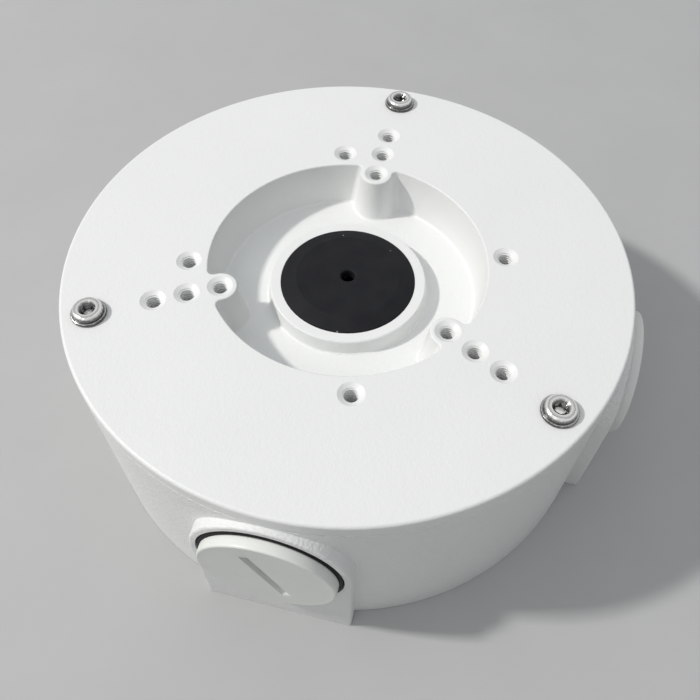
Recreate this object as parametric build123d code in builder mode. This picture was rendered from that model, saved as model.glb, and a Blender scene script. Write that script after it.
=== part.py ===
from build123d import *
import os
from math import cos, radians, sin, tan

# Round surface box that carries a security camera and hides its cable joints.
# Millimetres. The origin is the middle of the wall face, +Z points out of the wall to the
# camera, and the two plugged conduit entries face -Y and +X.

os.makedirs("parts", exist_ok=True)

# Cover plate, and its camera pocket with a trough round the grommet's collar
trough_width = 14.0
plate_width = 33.9
cover_thickness = 4.0
cover_edge_radius = 0.8
pocket_depth = 11.5
pocket_wall = 3.4
pocket_floor = 3.0
pocket_edge_radius = 0.4
pocket_root_radius = 0.8
draft_angle = 8.0
collar_wall = 2.6
collar_height = 4.0
collar_edge_radius = 0.4
collar_root_radius = 0.6

# Tabs that carry the innermost tapped holes into the pocket
tab_radius = 4.0
tab_root_radius = 1.4

# Drum
body_height = 48.5
wall_thickness = 4.2
floor_thickness = 4.5
rim_edge_radius = 0.4

# Relief cast into the wall face, which leaves a flat outer ring and pads to bear on the wall
relief_depth = 1.0
relief_rim_width = 7.0
relief_hub_width = 5.5
relief_pad_width = 1.5

# Tapped holes for cameras: three radial rows of three, and a square of four between them
row_start_angle = 90.0
row_count = 3
row_hole_count = 3
row_setback = 2.4
row_end_gap = 3.0
square_start_angle = 15.0
square_count = 4
square_setback = 4.5
tapped_radius = 1.65
tapped_mouth_width = 1.35
tapped_mouth_angle = 120.0
tapped_depth = 9.0
tapped_wall = 2.55
tapped_floor = 2.0
tapped_boss_draft_angle = 2.0

# Locating rib under the cover
rib_clearance = 0.4
rib_width = 1.6
rib_pad_clearance = 0.3
rib_gap = 2.5

# Cover screws, their pillars in the wall, and what rides on them
screw_edge_distance = 6.7
pillar_radius = 7.0
pillar_corner_radius = 1.0
pillar_hole_clearance = 0.05
screw_tip_room = 2.8
screw_shank_radius = 1.95
screw_length = 14.0
screw_tip_chamfer = 0.5
screw_head_radius = 3.5
screw_head_height = 1.4
screw_head_lip = 0.4
screw_socket_flats = 2.5
screw_socket_depth = 2.0
screw_socket_chamfer = 0.75
cover_hole_clearance = 0.3
washer_radius = 4.0
washer_bore_clearance = 0.2
washer_thickness = 0.8
washer_edge_radius = 0.25
retainer_radius = 3.6
retainer_bore_clearance = 0.05
retainer_thickness = 1.0
retainer_pocket_clearance = 0.3

# Gasket groove in the rim
groove_lip = 1.0
groove_outer_lip = 1.2
groove_depth = 1.8
gasket_clearance = 0.1

# Rubber grommet in the collar
grommet_bore_radius = 16.5
grommet_clearance = 0.1
grommet_bevel = 3.5
grommet_crown_rise = 1.5
grommet_edge_radius = 0.4
grommet_membrane = 2.5
grommet_wall = 2.5
grommet_ledge_width = 1.3
grommet_ledge_height = 2.0
grommet_lip_overlap = 1.8
grommet_lip_height = 1.6
grommet_lip_taper = 0.6
lead_hole_radius = 1.7

# Conduit entries. The thread is drawn as a plain wall at the middle of its depth.
entry_angles = {"front": 270.0, "right": 0.0}
entry_bore_radius = 12.65
entry_boss_wall = 1.5
entry_boss_rise = 1.3
entry_boss_edge_radius = 0.6
entry_rim_gap = 0.4
entry_pad_wall = 2.35
entry_pad_thickness = 6.8
entry_recess_depth = 1.9

# Conduit plugs and their O-rings
thread_clearance = 0.05
oring_gap = 0.65
oring_width = 2.9
oring_height = 2.0
oring_round = 0.7
oring_clearance = 0.2
plug_flange_setback = 0.9
plug_flange_thickness = 2.6
plug_flange_edge_radius = 0.5
plug_shank_length = 11.0
plug_shank_wall = 2.4
plug_shank_chamfer = 0.8
plug_end_thickness = 5.0
plug_slot_width = 2.3
plug_slot_margin = 4.9
plug_slot_depth = 2.5
plug_slot_angles = {"front": 113.0, "right": 35.0}

# Rear cable entry with the same thread, left open for the cable from the wall
rear_boss_wall = 3.85
rear_boss_height = 12.0

# Wall-screw holes
wall_hole_edge_distance = 19.0
wall_hole_count = 4
wall_hole_start_angle = 45.0
wall_hole_radius = 2.75
wall_boss_radius = 7.5
wall_boss_height = 9.0
wall_counterbore_radius = 5.2
wall_counterbore_depth = 3.5

# Earth terminal on the floor of the box
earth_setback = 14.0
earth_angle = 150.0
earth_boss_radius = 5.0
earth_boss_top = 12.0
earth_tip_room = 0.4
earth_screw_length = 8.0
earth_washer_radius = 4.5
earth_washer_thickness = 0.8
earth_tooth_count = 10
earth_tooth_ring_radius = 3.4
earth_tooth_length = 0.8
earth_tooth_width = 1.1
earth_tooth_thickness = 0.6

# Plane on the wall face whose X runs along the first radial row
row_plane = Plane(
    origin=(0, 0, 0),
    x_dir=(cos(radians(row_start_angle)), sin(radians(row_start_angle)), 0),
    z_dir=(0, 0, 1),
)

# Drum, rim and wall face
collar_top_radius = grommet_bore_radius + collar_wall
pocket_radius = collar_top_radius + trough_width
drum_radius = pocket_radius + plate_width
cover_top = body_height + cover_thickness
cavity_radius = drum_radius - wall_thickness
groove_width = wall_thickness - groove_lip - groove_outer_lip
wall_hole_circle_radius = drum_radius - wall_hole_edge_distance
earth_circle_radius = wall_hole_circle_radius - earth_setback
rear_boss_radius = entry_bore_radius + rear_boss_wall
relief_outer_radius = drum_radius - relief_rim_width
relief_inner_radius = rear_boss_radius + relief_hub_width
relief_pad_radius = wall_boss_radius + relief_pad_width

# Pocket, collar and grommet
pocket_floor_level = cover_top - pocket_depth
pocket_underside = pocket_floor_level - pocket_floor
pocket_draft = pocket_depth * tan(radians(draft_angle))
collar_top = pocket_floor_level + collar_height
collar_foot_radius = collar_top_radius + collar_height * tan(radians(draft_angle))
grommet_ledge_top = pocket_underside + grommet_ledge_height
grommet_ledge_radius = grommet_bore_radius - grommet_ledge_width
grommet_side_radius = grommet_bore_radius - grommet_clearance
grommet_neck_radius = grommet_ledge_radius - grommet_clearance
grommet_inner_radius = grommet_neck_radius - grommet_wall
grommet_lip_radius = grommet_ledge_radius + grommet_lip_overlap
grommet_crown_radius = grommet_bore_radius - grommet_bevel
grommet_crown_level = collar_top + grommet_crown_rise
grommet_ceiling = grommet_crown_level - grommet_membrane
grommet_lip_bottom = pocket_underside - grommet_lip_height

# Cover screws, washers and tapped holes
screw_circle_radius = drum_radius - screw_edge_distance
screw_head_round = screw_head_height - screw_head_lip
pillar_hole_radius = screw_shank_radius + pillar_hole_clearance
pillar_hole_depth = screw_length - washer_thickness - cover_thickness + screw_tip_room
cover_hole_radius = screw_shank_radius + cover_hole_clearance
washer_bore_radius = screw_shank_radius + washer_bore_clearance
washer_top = cover_top + washer_thickness
retainer_bore_radius = screw_shank_radius + retainer_bore_clearance
retainer_pocket_depth = retainer_thickness + retainer_pocket_clearance
tapped_mouth_radius = tapped_radius + tapped_mouth_width
tapped_boss_radius = tapped_radius + tapped_wall
tapped_boss_drop = tapped_depth + tapped_floor - cover_thickness
row_inner_radius = pocket_radius - row_setback
row_outer_radius = screw_circle_radius - pillar_radius - row_end_gap - tapped_boss_radius
row_pitch = (row_outer_radius - row_inner_radius) / (row_hole_count - 1)
square_circle_radius = pocket_radius + square_setback

# Conduit entries, O-rings and plugs
oring_inner_radius = entry_bore_radius + oring_gap
oring_outer_radius = oring_inner_radius + oring_width
entry_recess_radius = oring_outer_radius + oring_clearance
entry_boss_radius = entry_recess_radius + entry_boss_wall
entry_boss_face = drum_radius + entry_boss_rise
entry_height = body_height - entry_rim_gap - entry_boss_radius
entry_pad_radius = entry_bore_radius + entry_pad_wall
entry_pad_face = cavity_radius - entry_pad_thickness
rib_drop = body_height - entry_height - entry_pad_radius - rib_pad_clearance
recess_floor = entry_boss_face - entry_recess_depth
plug_seat = recess_floor + oring_height
plug_face = plug_seat + plug_flange_thickness
plug_flange_radius = oring_outer_radius - plug_flange_setback
plug_shank_radius = entry_bore_radius - thread_clearance
plug_shank_end = plug_seat - plug_shank_length
plug_hollow_end = plug_face - plug_end_thickness
slot_half_length = plug_flange_radius - plug_slot_margin
slot_disc_radius = (slot_half_length**2 + plug_slot_depth**2) / (2 * plug_slot_depth)

# Earth terminal, from its boss up
flat_washer_bottom = earth_boss_top + earth_tooth_thickness
earth_seat = flat_washer_bottom + earth_washer_thickness
earth_hole_depth = earth_boss_top - earth_seat + earth_screw_length + earth_tip_room


def across(angle):
    """Unit direction in plan at an angle from +X."""
    return Vector(cos(radians(angle)), sin(radians(angle)), 0)


def entry_plane(angle, distance):
    """Plane square to a conduit entry, at a distance from the drum's axis, with its Y up."""
    outward = across(angle)
    centre = outward * distance + Vector(0, 0, entry_height)
    return Plane(origin=centre, x_dir=across(angle + 90), z_dir=outward)


def entry_section(angle):
    """Upright plane through a conduit entry: X is the distance from the drum's axis, Y is up."""
    return Plane(origin=(0, 0, entry_height), x_dir=across(angle), z_dir=across(angle - 90))


def entry_axis(angle):
    """Axis of a conduit entry, pointing out of the box."""
    return Axis((0, 0, entry_height), across(angle))


def slot_plane(angle, turn):
    """Plane of the disc cutter that makes a plug's coin slot, turned up from the horizontal."""
    along = across(angle + 90) * cos(radians(turn)) + Vector(0, 0, sin(radians(turn)))
    distance = plug_face - plug_slot_depth + slot_disc_radius
    centre = across(angle) * distance + Vector(0, 0, entry_height)
    return Plane(origin=centre, x_dir=along, z_dir=across(angle).cross(along))


def screw_places():
    """Places of the three cover screws, each turned so that its X points outward."""
    return PolarLocations(screw_circle_radius, row_count, start_angle=row_start_angle)


def row_places(radius):
    """Places of one ring of the radial rows of tapped holes, each turned so that its X points outward."""
    return PolarLocations(radius, row_count, start_angle=row_start_angle)


def square_places():
    """Places of the four tapped holes that make a square."""
    return PolarLocations(square_circle_radius, square_count, start_angle=square_start_angle)


def wall_places():
    """Places of the wall-screw holes."""
    return PolarLocations(wall_hole_circle_radius, wall_hole_count, start_angle=wall_hole_start_angle)


def cavity_plan(growth=0):
    """Plan of the cavity, grown by an amount: a disc with a U-shaped notch at each screw pillar."""
    with BuildSketch(row_plane) as plan:
        Circle(cavity_radius + growth)
        with PolarLocations(screw_circle_radius, row_count):
            Circle(pillar_radius - growth, mode=Mode.SUBTRACT)
            with Locations((pillar_radius, 0)):
                Rectangle(2 * pillar_radius, 2 * (pillar_radius - growth), mode=Mode.SUBTRACT)
        fillet(plan.vertices().group_by(SortBy.DISTANCE)[-1], radius=pillar_corner_radius + growth)
    return plan.sketch


def pocket_plan(draft):
    """Plan of the pocket, drawn in by the draft: a disc with a round tab left on each radial row."""
    with BuildSketch(row_plane) as plan:
        Circle(pocket_radius - draft)
        with PolarLocations(row_inner_radius, row_count):
            Circle(tab_radius + draft, mode=Mode.SUBTRACT)
        fillet(plan.vertices().group_by(SortBy.DISTANCE)[-1], radius=tab_root_radius)
    return plan.sketch


def ring_solid(inner, outer, bottom, height, edge_radius=0):
    """Flat ring about the Z axis, standing on a level, with its outer edges rounded if it has a radius."""
    with BuildPart() as ring:
        with BuildSketch(Plane.XY.offset(bottom)):
            Circle(outer)
            Circle(inner, mode=Mode.SUBTRACT)
        extrude(amount=height)
        if edge_radius:
            fillet(ring.edges().group_by(SortBy.LENGTH)[-1], radius=edge_radius)
    return ring.part


def pan_head_screw(seat, length):
    """Pan-head screw with a hexagon socket, its head's seat at a level and its shank below."""
    crown = seat + screw_head_height
    with BuildPart() as screw:
        with BuildSketch(Plane.XZ):
            with BuildLine():
                Polyline(
                    (0, seat - length),
                    (screw_shank_radius - screw_tip_chamfer, seat - length),
                    (screw_shank_radius, seat - length + screw_tip_chamfer),
                    (screw_shank_radius, seat),
                    (screw_head_radius, seat),
                    (screw_head_radius, seat + screw_head_lip),
                )
                TangentArc(
                    (screw_head_radius, seat + screw_head_lip),
                    (screw_head_radius - screw_head_round, crown),
                    tangent=(0, 1),
                )
                Polyline(
                    (screw_head_radius - screw_head_round, crown),
                    (0, crown),
                    (0, seat - length),
                )
            make_face()
        revolve(axis=Axis.Z)
        with BuildSketch(Plane.XY.offset(crown)):
            RegularPolygon(screw_socket_flats / 2, 6, major_radius=False)
        extrude(amount=-screw_socket_depth, mode=Mode.SUBTRACT)
        with BuildSketch(Plane.XY.offset(crown)):
            Circle(screw_socket_flats / 2 + screw_socket_chamfer)
        extrude(amount=-screw_socket_chamfer, taper=45, mode=Mode.SUBTRACT)
    return screw.part


def save(solid, name):
    """Label a finished piece and write it as its own file."""
    solid.label = name
    export_step(solid, f"parts/{name}.step")


# Plans of the cavity, the two sides of the gasket groove, and the gasket
cavity = cavity_plan()
groove_inside = cavity_plan(groove_lip)
groove_outside = cavity_plan(groove_lip + groove_width)
gasket_inside = cavity_plan(groove_lip + gasket_clearance)
gasket_outside = cavity_plan(groove_lip + groove_width - gasket_clearance)

# Body: drum with two U-shaped conduit bosses, cast in one piece
with BuildPart() as body:
    with BuildSketch():
        Circle(drum_radius)
    extrude(amount=body_height)
    fillet(body.edges().sort_by(Axis.Z)[-1], radius=rim_edge_radius)
    for angle in entry_angles.values():
        with BuildSketch(entry_plane(angle, entry_boss_face)):
            Circle(entry_boss_radius)
            with Locations((0, -entry_height / 2)):
                Rectangle(2 * entry_boss_radius, entry_height)
        extrude(amount=entry_pad_face - entry_boss_face)
        boss_face = body.faces().sort_by(entry_axis(angle))[-1]
        boss_rim = boss_face.edges().filter_by_position(Axis.Z, entry_boss_edge_radius, body_height)
        fillet(boss_rim, radius=entry_boss_edge_radius)

    with BuildSketch(Plane.XY.offset(floor_thickness)):
        add(cavity)
    extrude(amount=body_height - floor_thickness, mode=Mode.SUBTRACT)

    # Pads inside the wall that give each conduit thread its length
    for angle in entry_angles.values():
        with BuildSketch(entry_plane(angle, entry_pad_face)):
            Circle(entry_pad_radius)
        extrude(amount=cavity_radius + wall_thickness / 2 - entry_pad_face)

    # Bosses that stand on the floor
    with BuildSketch():
        Circle(rear_boss_radius)
    extrude(amount=rear_boss_height)
    with BuildSketch():
        with wall_places():
            Circle(wall_boss_radius)
    extrude(amount=wall_boss_height)
    with BuildSketch():
        with Locations(across(earth_angle) * earth_circle_radius):
            Circle(earth_boss_radius)
    extrude(amount=earth_boss_top)

    # Relief in the wall face
    with BuildSketch():
        Circle(relief_outer_radius)
        Circle(relief_inner_radius, mode=Mode.SUBTRACT)
        with wall_places():
            Circle(relief_pad_radius, mode=Mode.SUBTRACT)
    extrude(amount=relief_depth, mode=Mode.SUBTRACT)

    # Gasket groove
    with BuildSketch(Plane.XY.offset(body_height)):
        add(groove_outside)
        add(groove_inside, mode=Mode.SUBTRACT)
    extrude(amount=-groove_depth, mode=Mode.SUBTRACT)

    # Conduit bores with a recess for the O-ring
    for angle in entry_angles.values():
        with BuildSketch(entry_plane(angle, entry_boss_face)):
            Circle(entry_recess_radius)
        extrude(amount=-entry_recess_depth, mode=Mode.SUBTRACT)
        with BuildSketch(entry_plane(angle, entry_boss_face)):
            Circle(entry_bore_radius)
        extrude(amount=entry_pad_face - entry_boss_face, mode=Mode.SUBTRACT)

    # Rear entry, wall-screw holes, pillar holes and earth-screw hole
    with BuildSketch():
        Circle(entry_bore_radius)
    extrude(amount=rear_boss_height, mode=Mode.SUBTRACT)
    with Locations(Plane.XY.offset(wall_boss_height)):
        with wall_places():
            CounterBoreHole(wall_hole_radius, wall_counterbore_radius, wall_counterbore_depth)
    with Locations(Plane.XY.offset(body_height)):
        with screw_places():
            Hole(pillar_hole_radius, depth=pillar_hole_depth)
    with Locations(Plane.XY.offset(earth_boss_top)):
        with Locations(across(earth_angle) * earth_circle_radius):
            Hole(pillar_hole_radius, depth=earth_hole_depth)

save(body.part, "body")

# Cover: plate with the camera pocket, cast in one piece
with BuildPart() as cover:
    with BuildSketch(Plane.XY.offset(body_height)):
        Circle(drum_radius)
    extrude(amount=cover_thickness)
    fillet(cover.edges().sort_by(Axis.Z)[-1], radius=cover_edge_radius)
    fillet(cover.edges().sort_by(Axis.Z)[0], radius=rim_edge_radius)

    # Tub round the pocket, which hangs into the box
    with BuildSketch(Plane.XY.offset(cover_top)):
        Circle(pocket_radius + pocket_wall)
    extrude(amount=-(pocket_depth + pocket_floor), taper=draft_angle)

    # Bosses under the tapped holes, run together along each row and joined to the tub
    with BuildSketch(Plane.XY.offset(body_height)):
        with row_places((row_inner_radius + row_outer_radius) / 2):
            SlotCenterToCenter(row_outer_radius - row_inner_radius, 2 * tapped_boss_radius)
        with square_places():
            Circle(tapped_boss_radius)
    extrude(amount=-tapped_boss_drop, taper=tapped_boss_draft_angle)

    # Locating rib, just inside the body's wall, in three arcs between the screw pillars
    with BuildSketch(Plane.XY.offset(body_height)):
        Circle(cavity_radius - rib_clearance)
        Circle(cavity_radius - rib_clearance - rib_width, mode=Mode.SUBTRACT)
        with screw_places():
            Circle(pillar_radius + rib_gap, mode=Mode.SUBTRACT)
    extrude(amount=-rib_drop)

    # Drafted pocket, with a tab left standing for each inner tapped hole
    with BuildSketch(Plane.XY.offset(pocket_floor_level)):
        add(pocket_plan(pocket_draft))
    with BuildSketch(Plane.XY.offset(cover_top)):
        add(pocket_plan(0))
    loft(ruled=True, mode=Mode.SUBTRACT)
    fillet(cover.faces().sort_by(Axis.Z)[-1].inner_wires()[0].edges(), radius=pocket_edge_radius)
    pocket_faces = cover.faces().filter_by(Plane.XY)
    fillet(pocket_faces.sort_by_distance((0, 0, pocket_floor_level))[0].edges(), radius=pocket_root_radius)

    # Collar for the grommet, flared into the pocket floor, then bored through to a ledge
    skirt_radius = collar_foot_radius + collar_root_radius
    with BuildSketch(Plane.XZ):
        with BuildLine():
            FilletPolyline(
                (0, collar_top),
                (collar_top_radius, collar_top),
                (collar_foot_radius, pocket_floor_level),
                (skirt_radius, pocket_floor_level),
                radius=(collar_edge_radius, collar_root_radius),
            )
            Polyline(
                (skirt_radius, pocket_floor_level),
                (skirt_radius, pocket_floor_level - pocket_floor / 2),
                (0, pocket_floor_level - pocket_floor / 2),
                (0, collar_top),
            )
        make_face()
    revolve(axis=Axis.Z)
    with BuildSketch(Plane.XY.offset(grommet_ledge_top)):
        Circle(grommet_bore_radius)
    extrude(amount=collar_top - grommet_ledge_top, mode=Mode.SUBTRACT)
    with BuildSketch(Plane.XY.offset(pocket_underside)):
        Circle(grommet_ledge_radius)
    extrude(amount=grommet_ledge_height, mode=Mode.SUBTRACT)

    # Tapped camera holes with chamfered mouths
    with Locations(Plane.XY.offset(cover_top)):
        for hole in range(row_hole_count):
            with row_places(row_inner_radius + hole * row_pitch):
                CounterSinkHole(tapped_radius, tapped_mouth_radius, tapped_depth, tapped_mouth_angle)
        with square_places():
            CounterSinkHole(tapped_radius, tapped_mouth_radius, tapped_depth, tapped_mouth_angle)

    # Cover-screw holes, with a pocket underneath for each retaining ring
    with Locations(Plane.XY.offset(cover_top)):
        with screw_places():
            Hole(cover_hole_radius, depth=cover_thickness)
    with BuildSketch(Plane.XY.offset(body_height)):
        with screw_places():
            Circle(retainer_radius + retainer_pocket_clearance)
    extrude(amount=retainer_pocket_depth, mode=Mode.SUBTRACT)

save(cover.part, "cover")

# Gasket: a closed cord that follows the rim and turns inside each screw pillar
with BuildPart() as gasket:
    with BuildSketch(Plane.XY.offset(body_height)):
        add(gasket_outside)
        add(gasket_inside, mode=Mode.SUBTRACT)
    extrude(amount=-groove_depth)

save(gasket.part, "cover_gasket")

# Grommet: a rubber cup that snaps over the ledge, with a pierced membrane on top
with BuildPart() as grommet:
    with BuildSketch(Plane.XZ) as grommet_section:
        with BuildLine():
            Polyline(
                (lead_hole_radius, grommet_crown_level),
                (grommet_crown_radius, grommet_crown_level),
                (grommet_side_radius, collar_top),
                (grommet_side_radius, grommet_ledge_top),
                (grommet_neck_radius, grommet_ledge_top),
                (grommet_neck_radius, pocket_underside),
                (grommet_lip_radius, pocket_underside),
                (grommet_lip_radius - grommet_lip_taper, grommet_lip_bottom),
                (grommet_inner_radius, grommet_lip_bottom),
                (grommet_inner_radius, grommet_ceiling),
                (lead_hole_radius, grommet_ceiling),
                close=True,
            )
        make_face()
        levels = grommet_section.vertices().group_by(Axis.Y)
        fillet([levels[-1].sort_by(Axis.X)[-1], levels[-2][0]], radius=grommet_edge_radius)
    revolve(axis=Axis.Z)

save(grommet.part, "cable_grommet")

# Cover screws with their washers and the rings that keep them in the cover
cover_screw = pan_head_screw(washer_top, screw_length)
cover_washer = ring_solid(washer_bore_radius, washer_radius, cover_top, washer_thickness, washer_edge_radius)
retainer = ring_solid(retainer_bore_radius, retainer_radius, body_height, retainer_thickness)
for number, place in enumerate(screw_places(), start=1):
    save(place * cover_screw, f"cover_screw_{number}")
    save(place * cover_washer, f"cover_washer_{number}")
    save(place * retainer, f"screw_retainer_{number}")

# Conduit plugs: a coin-slotted flange on a hollow threaded shank, with an O-ring under the flange
for side, angle in entry_angles.items():
    with BuildPart() as plug:
        with BuildSketch(entry_section(angle)):
            with BuildLine():
                Polyline(
                    (plug_hollow_end, 0),
                    (plug_hollow_end, plug_shank_radius - plug_shank_wall),
                    (plug_shank_end, plug_shank_radius - plug_shank_wall),
                    (plug_shank_end, plug_shank_radius - plug_shank_chamfer),
                    (plug_shank_end + plug_shank_chamfer, plug_shank_radius),
                    (plug_seat, plug_shank_radius),
                    (plug_seat, plug_flange_radius),
                    (plug_face, plug_flange_radius),
                    (plug_face, 0),
                    close=True,
                )
            make_face()
        revolve(axis=entry_axis(angle))
        face_rim = plug.faces().sort_by(entry_axis(angle))[-1].edges()
        fillet(face_rim, radius=plug_flange_edge_radius)
        with BuildSketch(slot_plane(angle, plug_slot_angles[side])):
            Circle(slot_disc_radius)
        extrude(amount=plug_slot_width / 2, both=True, mode=Mode.SUBTRACT)
    save(plug.part, f"conduit_plug_{side}")

    with BuildPart() as oring:
        with BuildSketch(entry_section(angle)):
            with Locations(((recess_floor + plug_seat) / 2, (oring_inner_radius + oring_outer_radius) / 2)):
                RectangleRounded(oring_height, oring_width, oring_round)
        revolve(axis=entry_axis(angle))
    save(oring.part, f"conduit_oring_{side}")

# Earth terminal: toothed washer, flat washer and screw on the floor boss
earth_place = Location(across(earth_angle) * earth_circle_radius)
with BuildPart() as toothed:
    with BuildSketch(Plane.XY.offset(earth_boss_top)):
        Circle(earth_tooth_ring_radius)
        with PolarLocations(earth_tooth_ring_radius, earth_tooth_count):
            Rectangle(2 * earth_tooth_length, earth_tooth_width)
        Circle(washer_bore_radius, mode=Mode.SUBTRACT)
    extrude(amount=earth_tooth_thickness)
save(earth_place * toothed.part, "earth_toothed_washer")
earth_washer = ring_solid(
    washer_bore_radius, earth_washer_radius, flat_washer_bottom, earth_washer_thickness, washer_edge_radius
)
save(earth_place * earth_washer, "earth_flat_washer")
earth_screw = pan_head_screw(earth_seat, earth_screw_length)
save(earth_place * earth_screw, "earth_screw")
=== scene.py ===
import math

import bmesh
import bpy
from mathutils import Matrix, Vector


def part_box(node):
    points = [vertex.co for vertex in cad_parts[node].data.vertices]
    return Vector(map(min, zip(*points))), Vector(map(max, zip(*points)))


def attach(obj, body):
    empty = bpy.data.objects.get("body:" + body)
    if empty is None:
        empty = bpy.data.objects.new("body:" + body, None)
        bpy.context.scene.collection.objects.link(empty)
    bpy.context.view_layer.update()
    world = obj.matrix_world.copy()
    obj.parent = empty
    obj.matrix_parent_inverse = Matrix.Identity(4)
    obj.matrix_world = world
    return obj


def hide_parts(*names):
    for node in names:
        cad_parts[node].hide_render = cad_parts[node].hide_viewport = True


# Looks of a round surface box for a security camera. Metres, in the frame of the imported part:
# the origin is the middle of the wall face, and +Z points out of the wall to the camera.

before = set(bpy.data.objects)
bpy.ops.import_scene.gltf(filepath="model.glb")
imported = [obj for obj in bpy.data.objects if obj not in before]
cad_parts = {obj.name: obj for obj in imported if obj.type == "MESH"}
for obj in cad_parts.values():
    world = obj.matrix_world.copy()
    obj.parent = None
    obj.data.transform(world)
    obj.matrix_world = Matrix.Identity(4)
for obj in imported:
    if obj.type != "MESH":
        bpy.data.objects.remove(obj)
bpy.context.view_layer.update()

# Photograph's camera, placed from the middle of the wall face
camera_place = (0.02828, -0.11587, 0.18473)
camera_turn_degrees = (35.07, -0.36, 13.88)
camera_lens = 38.32

# Profile of a thread along one pitch: the share of the pitch, and whether it lies at the crest or the root
thread_shape = ((0, "root"), (1 / 8, "root"), (7 / 16, "crest"), (9 / 16, "crest"), (7 / 8, "root"))

# Tapped camera holes, M4: three rows of three, and a square of four
tapped_pitch = 0.0007
tapped_crest = 0.00200
tapped_root = 0.00162
tapped_depth = 0.0083
tapped_overrun = 0.0006
tapped_segments = 28
row_start = math.radians(90)
row_count = 3
row_radii = (0.0307, 0.0384, 0.0461)
square_start = math.radians(15)
square_count = 4
square_radius = 0.0376

# Conduit thread, 14 turns to the inch, in the body's entries and on the plugs
conduit_pitch = 0.0254 / 14
conduit_bore = 0.01265
conduit_segments = 112
female_crest = 0.01331
female_root = 0.01210
male_crest = 0.01314
male_root = 0.01200
entry_angles = {"front": math.radians(270), "right": 0.0}
entry_pad_face = 0.0560
rear_entry_depth = 0.0120
thread_end_chamfer = 0.0006
thread_margin = 0.0004

# Conduit plugs and their O-rings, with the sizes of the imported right-hand ones
plug_low, plug_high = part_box("conduit_plug_right")
oring_low, oring_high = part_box("conduit_oring_right")
entry_height = (plug_low.z + plug_high.z) / 2
entry_recess_floor = oring_low.x
plug_seat = oring_high.x
plug_face = plug_high.x
plug_flange_radius = plug_high.y
plug_edge = 0.0005
plug_face_dish = 0.00012
plug_shank_end = plug_low.x
plug_shank_wall = 0.0024
plug_hollow_end = 0.0660
plug_neck_length = 0.0013
plug_slot_depth = 0.0025
plug_slot_width = 0.0023
plug_slot_length = 0.0208
plug_slot_turns = {"front": math.radians(113), "right": math.radians(35)}
plug_bodies = {"front": "front_plug", "right": "right_plug"}

# Cover screws
screw_count = 3

# Rubber grommet
grommet_segments = 144
cover_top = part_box("cover")[1].z
collar_top = 0.0450
grommet_crown_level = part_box("cable_grommet")[1].z
grommet_crown_radius = 0.0130
grommet_side_radius = 0.0164
grommet_ledge_radius = 0.0151
grommet_ledge_top = 0.0400
grommet_underside = 0.0380
grommet_lip_radius = 0.0170
grommet_lip_level = 0.0364
grommet_inner_radius = 0.0126
grommet_membrane = 0.0025
grommet_hole_radius = 0.0017
grommet_edge = 0.0005

# Steepest bend between faces, in degrees, that is shaded smooth
smooth_casting = 30
smooth_plug = 35
smooth_rubber = 40

# Points of a CAD mesh that lie closer than this are one
weld_distance = 0.000001

# Noise textures: the range that their values mostly lie in. Scales are cells to the metre.
noise_low = 0.3
noise_high = 0.7

# Powder coat, with the body's rougher than the cover's
coat_dark = (0.778, 0.786, 0.774)
coat_light = (0.808, 0.815, 0.804)
coat_roughness = (0.40, 0.52)
coat_peel_scale = 1000
coat_grit_scale = 2300
coat_cloud_scale = 45
cover_coat_relief = 0.000048
body_coat_relief = 0.000144

# White plastic of the plugs
plastic_dark = (0.735, 0.750, 0.715)
plastic_light = (0.765, 0.778, 0.745)
plastic_roughness = (0.34, 0.42)
plastic_flow_scale = 160
plastic_grain_scale = 2600
plastic_grain_share = 0.3
plastic_relief = 0.000012

# Rubber and nylon: two shades each, and the mean roughness
grommet_shades = ((0.0115, 0.0120, 0.0145), (0.0155, 0.0160, 0.0185))
grommet_roughness = 0.62
seal_shades = ((0.008, 0.008, 0.009), (0.016, 0.016, 0.017))
seal_roughness = 0.5
nylon_shades = ((0.50, 0.49, 0.45), (0.56, 0.55, 0.51))
nylon_roughness = 0.45
rubber_bloom_scale = 220
rubber_grain_scale = 2400
rubber_grain_share = 0.5
rubber_relief = 0.00002
rubber_spread = 0.06
rubber_specular = 0.12

# Dust on the grommet's bevel
speck_cells = 260
speck_radius = 0.00016
speck_colour = (0.45, 0.45, 0.43)

# Greys of the turned steel at distances from its axis, as painted light: painted shade in the socket, under
# the head and at the edge, a painted highlight on the socket floor, and painted reflection rings on the head
steel_reach = 0.006
steel_ring = 0.00016
steel_ring_share = 0.35
steel_wander = 0.0004
steel_scratch_scale = 1800
steel_relief = 0.000014
steel_warmth = 0.99
head_painted_light_greys = (
    (0.0000, 0.98), (0.0010, 0.95), (0.0012, 0.18), (0.0016, 0.12), (0.0018, 0.36), (0.0021, 0.82),
    (0.0024, 0.66), (0.0027, 0.42), (0.0030, 0.86), (0.0033, 0.60), (0.00345, 0.16),
)
# The washer's greys are painted shade: dark under the head and dark at its outer edge
washer_painted_shade_greys = ((0.0000, 0.10), (0.00345, 0.03), (0.0036, 0.36), (0.0038, 0.50), (0.00396, 0.10))
steel_smoother = 0.06
steel_rougher = 0.08
head_roughness = 0.20
washer_roughness = 0.26
earth_head_roughness = 0.26
earth_washer_roughness = 0.30
earth_tooth_roughness = 0.34

# Floor, with its top just under the wall face
floor_reach = 3.0
floor_level = -0.0002
floor_dark = (0.435, 0.440, 0.435)
floor_light = (0.453, 0.458, 0.453)
floor_cloud_scale = 30
floor_roughness = 0.8

# Square lamps: the way each lies from its target, its distance, its side and its power in watts
lamp_target = Vector((0, 0, 0.03))
lamp_colour = (1.0, 0.985, 0.955)
key_lamp = ((-0.95, -0.25, 1.0), 2.2, 0.14, 32.6)
fill_lamp = ((-0.35, -0.85, 1.0), 1.5, 0.32, 0.8)

# Light from all round, by its strength at the horizon and overhead, and the backdrop that shows instead of it
sky_colour = (0.94, 0.965, 1.0)
sky_horizon = 0.03
sky_zenith = 0.80
backdrop_colour = (0.80, 0.81, 0.80)


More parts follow.
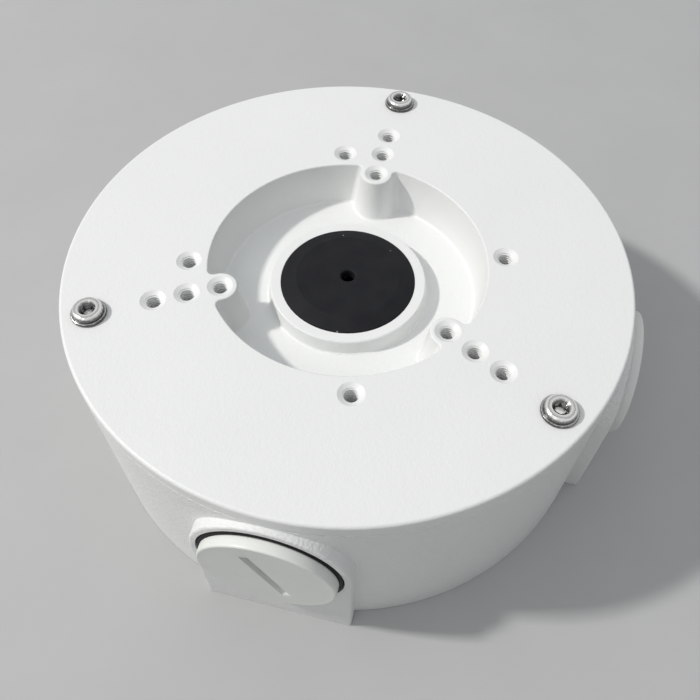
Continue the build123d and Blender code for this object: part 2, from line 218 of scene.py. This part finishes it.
def turned(radius, turn, height):
    """Point at a radius, an angle and a height about the Z axis."""
    return (radius * math.cos(turn), radius * math.sin(turn), height)


def ring(radius, height, segments):
    """Points of a circle about the Z axis."""
    return [turned(radius, 2 * math.pi * step / segments, height) for step in range(segments)]


def new_piece(name, mesh):
    """Put a mesh into the scene as a piece."""
    piece = bpy.data.objects.new(name, mesh)
    bpy.context.scene.collection.objects.link(piece)
    return piece


def solid(name, points, faces, place):
    """Piece from the points and faces of a closed form, with its normals turned outward."""
    mesh = bpy.data.meshes.new(name)
    mesh.from_pydata(points, [], faces)
    form = bmesh.new()
    form.from_mesh(mesh)
    bmesh.ops.recalc_face_normals(form, faces=form.faces)
    form.to_mesh(mesh)
    form.free()
    mesh.transform(place)
    return new_piece(name, mesh)


def lathe(name, profile, segments, place):
    """Solid of revolution about its own Z from (radius, height) points that start and end on the axis."""
    points = [(0, 0, profile[0][1])]
    rings = []
    for radius, height in profile[1:-1]:
        rings.append(len(points))
        points += ring(radius, height, segments)
    points.append((0, 0, profile[-1][1]))
    last = len(points) - 1
    faces = []
    for step in range(segments):
        after = (step + 1) % segments
        faces.append((0, rings[0] + after, rings[0] + step))
        faces.append((last, rings[-1] + step, rings[-1] + after))
        for low, high in zip(rings, rings[1:]):
            faces.append((low + step, low + after, high + after, high + step))
    return solid(name, points, faces, place)


def tube_ring(name, profile, segments, place):
    """Ring about its own Z whose section is the closed line of (radius, height) points."""
    points = []
    for radius, height in profile:
        points += ring(radius, height, segments)
    faces = []
    for number in range(len(profile)):
        low = number * segments
        high = (number + 1) % len(profile) * segments
        for step in range(segments):
            after = (step + 1) % segments
            faces.append((low + step, low + after, high + after, high + step))
    return solid(name, points, faces, place)


def threaded_rod(name, radii, pitch, low, high, segments, place):
    """Closed rod with a right-handed thread about its own Z, from below one level to above another."""
    span = len(thread_shape)
    steps = segments * (math.ceil((high - low) / pitch) + 1)
    start = low - pitch
    points = []
    index = {}
    for step in range(steps + segments + 1):
        for number, (share, part) in enumerate(thread_shape):
            if number and step > steps:
                continue
            index[step, number] = len(points)
            height = start + pitch * (step / segments + share)
            points.append(turned(radii[part], 2 * math.pi * step / segments, height))

    def at(step, number):
        return index[step + segments, 0] if number == span else index[step, number]

    faces = []
    for step in range(steps):
        for number in range(span):
            corners = ((step, number), (step + 1, number), (step + 1, number + 1), (step, number + 1))
            faces.append([at(*corner) for corner in corners])
    for first, centre in ((0, start + pitch / 2), (steps, start + pitch * (steps / segments + 1 / 2))):
        rim = [at(first + step, 0) for step in range(segments)]
        rim += [at(first, number) for number in range(span, 0, -1)]
        points.append((0, 0, centre))
        for one, two in zip(rim, rim[1:] + rim[:1]):
            faces.append((len(points) - 1, one, two))
    return solid(name, points, faces, place)


def joined(name, pieces):
    """One object from several that stand clear of each other."""
    form = bmesh.new()
    for piece in pieces:
        form.from_mesh(piece.data)
        bpy.data.objects.remove(piece)
    mesh = bpy.data.meshes.new(name)
    form.to_mesh(mesh)
    form.free()
    return new_piece(name, mesh)


def combine(piece, tool, operation):
    """Work a closed tool into a closed piece, and remove the tool."""
    modifier = piece.modifiers.new(operation, "BOOLEAN")
    modifier.operation = operation
    modifier.solver = "MANIFOLD"
    modifier.object = tool
    bpy.context.view_layer.update()
    shaped = piece.evaluated_get(bpy.context.evaluated_depsgraph_get())
    mesh = bpy.data.meshes.new_from_object(shaped)
    piece.modifiers.clear()
    piece.data = mesh
    bpy.data.objects.remove(tool)


def casting(name, node):
    """Closed copy of a CAD node's mesh, to be worked on as a new piece."""
    form = bmesh.new()
    form.from_mesh(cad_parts[node].data)
    bmesh.ops.remove_doubles(form, verts=form.verts, dist=weld_distance)
    mesh = bpy.data.meshes.new(name)
    form.to_mesh(mesh)
    form.free()
    if "custom_normal" in mesh.attributes:
        mesh.attributes.remove(mesh.attributes["custom_normal"])
    return new_piece(name, mesh)


def soften(piece, degrees):
    """Shade smooth up to an angle, with flat faces kept flat."""
    for face in piece.data.polygons:
        face.use_smooth = True
    piece.data.set_sharp_from_angle(angle=math.radians(degrees))
    weighted = piece.modifiers.new("face_weights", "WEIGHTED_NORMAL")
    weighted.keep_sharp = True


def entry_frame(angle):
    """Place whose Z is a conduit entry's axis, pointing out of the box, with its Y up."""
    outward = Vector(turned(1, angle, 0))
    along = Vector((-outward.y, outward.x, 0))
    turn = Matrix((along, (0, 0, 1), outward)).transposed().to_4x4()
    return Matrix.Translation((0, 0, entry_height)) @ turn


def tapped_places():
    """Places of the thirteen tapped camera holes, on the top of the cover."""
    rings = [(radius, row_start, row_count) for radius in row_radii]
    rings.append((square_radius, square_start, square_count))
    places = []
    for radius, start, count in rings:
        for number in range(count):
            places.append(Matrix.Translation(turned(radius, start + 2 * math.pi * number / count, cover_top)))
    return places


def make_cover():
    """Cover casting with a real thread in each camera hole."""
    piece = casting("cover_casting", "cover")
    radii = {"crest": tapped_crest, "root": tapped_root}
    taps = []
    for place in tapped_places():
        taps.append(
            threaded_rod("tap", radii, tapped_pitch, -tapped_depth, tapped_overrun, tapped_segments, place)
        )
    combine(piece, joined("taps", taps), "DIFFERENCE")
    soften(piece, smooth_casting)
    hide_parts("cover")
    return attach(piece, "root")


def thread_land(low, high):
    """Profile of the metal that an internal conduit thread is cut in, between two levels."""
    crest = female_root - thread_margin
    outer = conduit_bore + thread_margin
    return (
        (0, low + thread_end_chamfer),
        (crest, low + thread_end_chamfer),
        (conduit_bore, low),
        (outer, low),
        (outer, high),
        (conduit_bore, high),
        (crest, high - thread_end_chamfer),
        (0, high - thread_end_chamfer),
    )


def make_body():
    """Body casting with the conduit thread cut in its three entries."""
    piece = casting("body_casting", "body")
    spans = [(entry_frame(angle), entry_pad_face, entry_recess_floor) for angle in entry_angles.values()]
    spans.append((Matrix.Identity(4), 0.0, rear_entry_depth))
    radii = {"crest": female_crest, "root": female_root}
    lands = []
    taps = []
    for place, low, high in spans:
        profile = thread_land(low + thread_margin, high - thread_margin)
        lands.append(lathe("land", profile, conduit_segments, place))
        taps.append(
            threaded_rod("tap", radii, conduit_pitch, low - conduit_pitch, high + conduit_pitch,
                         conduit_segments, place)
        )
    combine(piece, joined("lands", lands), "UNION")
    combine(piece, joined("taps", taps), "DIFFERENCE")
    soften(piece, smooth_casting)
    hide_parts("body")
    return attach(piece, "root")


def rounded(centre, radius, start, end, steps=5):
    """Points of an arc about a centre, between two angles in degrees."""
    turns = [math.radians(start + (end - start) * step / steps) for step in range(steps + 1)]
    return [(centre[0] + radius * math.cos(turn), centre[1] + radius * math.sin(turn)) for turn in turns]


def make_plug(side):
    """Coin-slotted conduit plug with a threaded hollow shank."""
    place = entry_frame(entry_angles[side])
    edge = plug_edge
    rim = plug_flange_radius
    neck = plug_seat - plug_neck_length
    dish = plug_face - plug_face_dish
    flange = [(0, neck), (male_root, neck), (male_root, plug_seat)]
    flange += [(rim - edge / 2, plug_seat), (rim, plug_seat + edge / 2)]
    flange += rounded((rim - edge, plug_face - edge), edge, 0, 90)
    flange += [(rim - 4 * edge, dish), (0, dish)]
    piece = lathe(f"threaded_plug_{side}", flange, conduit_segments, place)

    # The sleeve is the form that the thread is kept in: chamfered at its end, and cut back to the neck
    radii = {"crest": male_crest, "root": male_root}
    shank = threaded_rod("shank", radii, conduit_pitch, plug_shank_end - conduit_pitch,
                         plug_seat + conduit_pitch, conduit_segments, place)
    outer = male_crest + edge
    top = plug_seat - edge / 5
    sleeve = [(0, plug_shank_end), (male_root - edge / 2, plug_shank_end), (outer, plug_shank_end + 3 * edge)]
    sleeve += [(outer, neck), (male_root, neck + edge), (male_root, top), (0, top)]
    combine(shank, lathe("sleeve", sleeve, conduit_segments, place), "INTERSECT")
    combine(piece, shank, "UNION")

    bore = male_root - plug_shank_wall
    hollow = [(0, plug_shank_end - edge), (bore + 2 * edge, plug_shank_end - edge)]
    hollow += [(bore, plug_shank_end + edge), (bore, plug_hollow_end - 2 * edge)]
    hollow += [(bore - 2 * edge, plug_hollow_end), (0, plug_hollow_end)]
    combine(piece, lathe("hollow", hollow, conduit_segments, place), "DIFFERENCE")

    disc_radius = ((plug_slot_length / 2) ** 2 + plug_slot_depth**2) / (2 * plug_slot_depth)
    half = plug_slot_width / 2
    disc = [(0, -half), (disc_radius, -half), (disc_radius, half), (0, half)]
    slot_turn = Matrix.Rotation(plug_slot_turns[side], 4, "Z")
    disc_centre = Matrix.Translation((0, 0, plug_face - plug_slot_depth + disc_radius))
    disc_place = place @ slot_turn @ disc_centre @ Matrix.Rotation(math.pi / 2, 4, "X")
    combine(piece, lathe("slot", disc, 3 * conduit_segments, disc_place), "DIFFERENCE")
    soften(piece, smooth_plug)
    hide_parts(f"conduit_plug_{side}")
    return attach(piece, plug_bodies[side])


def make_grommet():
    """Rubber cup with softened edges and a pierced membrane."""
    edge = grommet_edge
    side = grommet_side_radius
    crown = grommet_crown_level
    hole = grommet_hole_radius
    lip = grommet_lip_radius
    inner = grommet_inner_radius
    slope = math.degrees(math.atan2(crown - collar_top, side - grommet_crown_radius))
    profile = [(hole, crown - grommet_membrane), (hole, crown - edge)]
    profile += rounded((hole + edge, crown - edge), edge, 180, 90)
    profile += rounded((grommet_crown_radius - edge, crown - edge), edge, 90, 90 - slope, 4)
    profile += rounded((side - edge, collar_top - edge / 5), edge, 90 - slope, 0)
    profile += [(side, grommet_ledge_top + edge / 5), (grommet_ledge_radius, grommet_ledge_top)]
    profile += [(grommet_ledge_radius, grommet_underside), (lip - edge, grommet_underside)]
    profile += rounded((lip - edge, grommet_underside - edge), edge, 90, 0)
    profile += rounded((lip - 2 * edge, grommet_lip_level + edge), edge, 0, -90)
    profile += rounded((inner + edge, grommet_lip_level + edge), edge, -90, -180)
    profile += [(inner, crown - grommet_membrane)]
    piece = tube_ring("rubber_grommet", profile, grommet_segments, Matrix.Identity(4))
    soften(piece, smooth_rubber)
    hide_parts("cable_grommet")
    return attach(piece, "root")


class Nodes:
    """Short way to build a node tree."""

    def __init__(self, tree):
        self.tree = tree

    def fill(self, socket, value):
        """Set an input to a value, or link another node's output to it."""
        if isinstance(value, bpy.types.NodeSocket):
            self.tree.links.new(value, socket)
        else:
            socket.default_value = value

    def add(self, kind, inputs=(), **settings):
        node = self.tree.nodes.new(kind)
        for key, value in settings.items():
            setattr(node, key, value)
        for key, value in dict(inputs).items():
            self.fill(node.inputs[key], value)
        return node

    def math(self, operation, one, two=0.0):
        return self.add("ShaderNodeMath", {0: one, 1: two}, operation=operation).outputs[0]


class Look(Nodes):
    """Material, built by its node tree."""

    def __init__(self, name):
        self.material = bpy.data.materials.new(name)
        self.material.use_nodes = True
        super().__init__(self.material.node_tree)
        self.shader = self.tree.nodes["Principled BSDF"]
        self.place = self.add("ShaderNodeTexCoord").outputs["Object"]

    def noise(self, scale, detail):
        inputs = {"Vector": self.place, "Scale": scale, "Detail": detail}
        return self.add("ShaderNodeTexNoise", inputs).outputs["Fac"]

    def spread(self, value, low=0.0, high=1.0):
        """A noise's value, spread between two numbers."""
        inputs = {"Value": value, "From Min": noise_low, "From Max": noise_high}
        inputs |= {"To Min": low, "To Max": high}
        return self.add("ShaderNodeMapRange", inputs).outputs["Result"]

    def blend(self, value, one, two):
        """Mix of two colours, each three numbers or another node's output."""
        inputs = {0: value}
        for key, colour in ((6, one), (7, two)):
            inputs[key] = colour if isinstance(colour, bpy.types.NodeSocket) else (*colour, 1)
        return self.add("ShaderNodeMix", inputs, data_type="RGBA").outputs[2]

    def layered(self, main, other, share):
        """One value with a share of another laid over it."""
        return self.math("ADD", main, self.math("MULTIPLY", other, share))

    def bump(self, height, relief):
        """Relief of the surface, as deep as given where the height goes from 0 to 1."""
        inputs = {"Height": height, "Distance": relief, "Strength": 1.0}
        self.paint(Normal=self.add("ShaderNodeBump", inputs).outputs["Normal"])

    def paint(self, **inputs):
        """Fill the shader's own inputs, named with _ for each space."""
        for name, value in inputs.items():
            self.fill(self.shader.inputs[name.replace("_", " ")], value)


def powder_coat(name, relief):
    """Fine-textured white powder coat on cast aluminium."""
    look = Look(name)
    peel = look.noise(coat_peel_scale, detail=3)
    grit = look.noise(coat_grit_scale, detail=2)
    cloud = look.noise(coat_cloud_scale, detail=3)
    look.bump(look.math("ADD", peel, grit), relief)
    shade = look.math("MULTIPLY", look.math("ADD", cloud, grit), 0.5)
    look.paint(
        Base_Color=look.blend(look.spread(shade), coat_dark, coat_light),
        Roughness=look.spread(peel, *coat_roughness),
    )
    return look.material


def moulded_plastic():
    """Smooth white plastic with a faint moulding flow."""
    look = Look("moulded_plastic")
    flow = look.noise(plastic_flow_scale, detail=2)
    grain = look.noise(plastic_grain_scale, detail=2)
    look.bump(look.layered(flow, grain, plastic_grain_share), plastic_relief)
    look.paint(
        Base_Color=look.blend(look.spread(flow), plastic_dark, plastic_light),
        Roughness=look.spread(grain, *plastic_roughness),
    )
    return look.material


def rubber(name, shades, roughness, speck_top=None):
    """Moulded rubber with a dry bloom and, where it lies open, a few specks of dust below a level."""
    look = Look(name)
    bloom = look.noise(rubber_bloom_scale, detail=5)
    grain = look.noise(rubber_grain_scale, detail=3)
    look.bump(look.layered(bloom, grain, rubber_grain_share), rubber_relief)
    colour = look.blend(look.spread(bloom), *shades)
    if speck_top:
        cells = look.add("ShaderNodeTexVoronoi", {"Vector": look.place, "Scale": speck_cells})
        near = look.math("LESS_THAN", cells.outputs["Distance"], speck_radius * speck_cells)
        level = look.add("ShaderNodeSeparateXYZ", {0: look.place}).outputs["Z"]
        speck = look.math("MULTIPLY", near, look.math("LESS_THAN", level, speck_top))
        colour = look.blend(speck, colour, speck_colour)
    look.paint(
        Base_Color=colour,
        Roughness=look.spread(grain, roughness - rubber_spread, roughness + rubber_spread),
        Specular_IOR_Level=rubber_specular,
    )
    return look.material


def turned_steel_with_painted_light(name, centre, painted_light_greys, roughness):
    """Steel turned on a lathe about an upright axis, with painted shade and painted highlight rings given as
    greys at distances from that axis.
    """
    look = Look(name)
    offset = look.add("ShaderNodeVectorMath", {0: look.place, 1: (*centre, 0)}, operation="SUBTRACT")
    plan = look.add("ShaderNodeVectorMath", {0: offset.outputs[0], 1: (1, 1, 0)}, operation="MULTIPLY")
    distance = look.add("ShaderNodeVectorMath", {0: plan.outputs[0]}, operation="LENGTH").outputs["Value"]
    scratch = look.noise(steel_scratch_scale, detail=4)
    wander = look.math("MULTIPLY", look.math("SUBTRACT", scratch, 0.5), steel_wander)
    share = look.math("DIVIDE", look.math("ADD", distance, wander), steel_reach)
    # The ramp's greys are painted light: painted shade in the socket, under the head and at the edges, and
    # painted highlight and reflection rings
    ramp = look.add("ShaderNodeValToRGB", {0: share})
    stops = ramp.color_ramp.elements
    for number, (radius, grey) in enumerate(painted_light_greys):
        stop = stops[number] if number < 2 else stops.new(radius / steel_reach)
        stop.position = radius / steel_reach
        stop.color = (grey, grey, grey * steel_warmth, 1)
    wave = look.math("SINE", look.math("MULTIPLY", distance, 2 * math.pi / steel_ring))
    look.bump(look.layered(scratch, wave, steel_ring_share), steel_relief)
    look.paint(
        Base_Color=ramp.outputs["Color"],
        Metallic=1.0,
        Roughness=look.spread(scratch, roughness - steel_smoother, roughness + steel_rougher),
    )
    return look.material


def dress(piece, material):
    """Give a piece one material and no other."""
    piece.data.materials.clear()
    piece.data.materials.append(material)


def dress_node(node, material):
    """Give a CAD node that stays shown its material."""
    dress(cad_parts[node], material)


def dress_turned(node, material_name, painted_light_greys, roughness):
    """Give a turned steel CAD node a material about its own axis, with its painted shade and highlight greys.
    """
    low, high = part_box(node)
    centre = ((low.x + high.x) / 2, (low.y + high.y) / 2)
    dress_node(node, turned_steel_with_painted_light(material_name, centre, painted_light_greys, roughness))


def make_floor():
    """Large pale floor under the object."""
    corners = [
        (-floor_reach, -floor_reach, floor_level),
        (floor_reach, -floor_reach, floor_level),
        (floor_reach, floor_reach, floor_level),
        (-floor_reach, floor_reach, floor_level),
    ]
    mesh = bpy.data.meshes.new("floor")
    mesh.from_pydata(corners, [], [(0, 1, 2, 3)])
    floor = new_piece("floor", mesh)
    look = Look("floor_paint")
    cloud = look.spread(look.noise(floor_cloud_scale, detail=4))
    look.paint(Base_Color=look.blend(cloud, floor_dark, floor_light), Roughness=floor_roughness)
    dress(floor, look.material)


def make_lamp(name, direction, distance, side, power):
    """Soft square lamp that shines at its target from a direction."""
    lamp = bpy.data.lights.new(name, "AREA")
    lamp.size = side
    lamp.energy = power
    lamp.color = lamp_colour
    lamp_object = bpy.data.objects.new(name, lamp)
    lamp_object.location = lamp_target + Vector(direction).normalized() * distance
    lamp_object.rotation_euler = Vector(direction).to_track_quat("Z", "Y").to_euler()
    bpy.context.scene.collection.objects.link(lamp_object)


def make_world():
    """Soft light, stronger from above, with a pale backdrop where the camera and metal see past the floor."""
    world = bpy.data.worlds.new("studio")
    world.use_nodes = True
    nodes = Nodes(world.node_tree)
    nodes.tree.nodes.clear()
    direction = nodes.add("ShaderNodeTexCoord").outputs["Generated"]
    height = nodes.add("ShaderNodeSeparateXYZ", {0: direction}).outputs["Z"]
    rise = nodes.add("ShaderNodeMapRange", {"Value": height, "To Min": sky_horizon, "To Max": sky_zenith})
    strength = rise.outputs["Result"]
    sky = nodes.add("ShaderNodeBackground", {"Color": (*sky_colour, 1), "Strength": strength})
    backdrop = nodes.add("ShaderNodeBackground", {"Color": (*backdrop_colour, 1)})
    rays = nodes.add("ShaderNodeLightPath").outputs
    mirrored = nodes.math("MAXIMUM", rays["Is Glossy Ray"], rays["Is Transmission Ray"])
    seen = nodes.math("MAXIMUM", rays["Is Camera Ray"], mirrored)
    shown = nodes.add("ShaderNodeMixShader", {0: seen, 1: sky.outputs[0], 2: backdrop.outputs[0]})
    nodes.add("ShaderNodeOutputWorld", {"Surface": shown.outputs[0]})
    bpy.context.scene.world = world


def make_camera():
    """Camera at the photograph's place and angle."""
    camera = bpy.data.cameras.new("camera")
    camera.lens = camera_lens
    camera_object = bpy.data.objects.new("camera", camera)
    camera_object.location = camera_place
    camera_object.rotation_euler = [math.radians(turn) for turn in camera_turn_degrees]
    bpy.context.scene.collection.objects.link(camera_object)
    bpy.context.scene.camera = camera_object


plastic = moulded_plastic()
seal_rubber = rubber("seal_rubber", seal_shades, seal_roughness)
nylon = rubber("retainer_nylon", nylon_shades, nylon_roughness)

dress(make_cover(), powder_coat("cover_coat", cover_coat_relief))
dress(make_body(), powder_coat("body_coat", body_coat_relief))
dress(
    make_grommet(),
    rubber("grommet_rubber", grommet_shades, grommet_roughness, grommet_crown_level - speck_radius),
)
for side in entry_angles:
    dress(make_plug(side), plastic)
    dress_node(f"conduit_oring_{side}", seal_rubber)
dress_node("cover_gasket", seal_rubber)
for number in range(1, screw_count + 1):
    dress_turned(f"cover_screw_{number}", f"screw_steel_{number}", head_painted_light_greys, head_roughness)
    dress_turned(f"cover_washer_{number}", f"washer_steel_{number}", washer_painted_shade_greys, washer_roughness)
    dress_node(f"screw_retainer_{number}", nylon)
dress_turned("earth_screw", "earth_screw_steel", head_painted_light_greys, earth_head_roughness)
dress_turned("earth_flat_washer", "earth_washer_steel", washer_painted_shade_greys, earth_washer_roughness)
dress_turned("earth_toothed_washer", "earth_tooth_steel", washer_painted_shade_greys, earth_tooth_roughness)

make_floor()
make_lamp("key", *key_lamp)
make_lamp("fill", *fill_lamp)
make_world()
make_camera()
bpy.context.scene.view_settings.view_transform = "Standard"
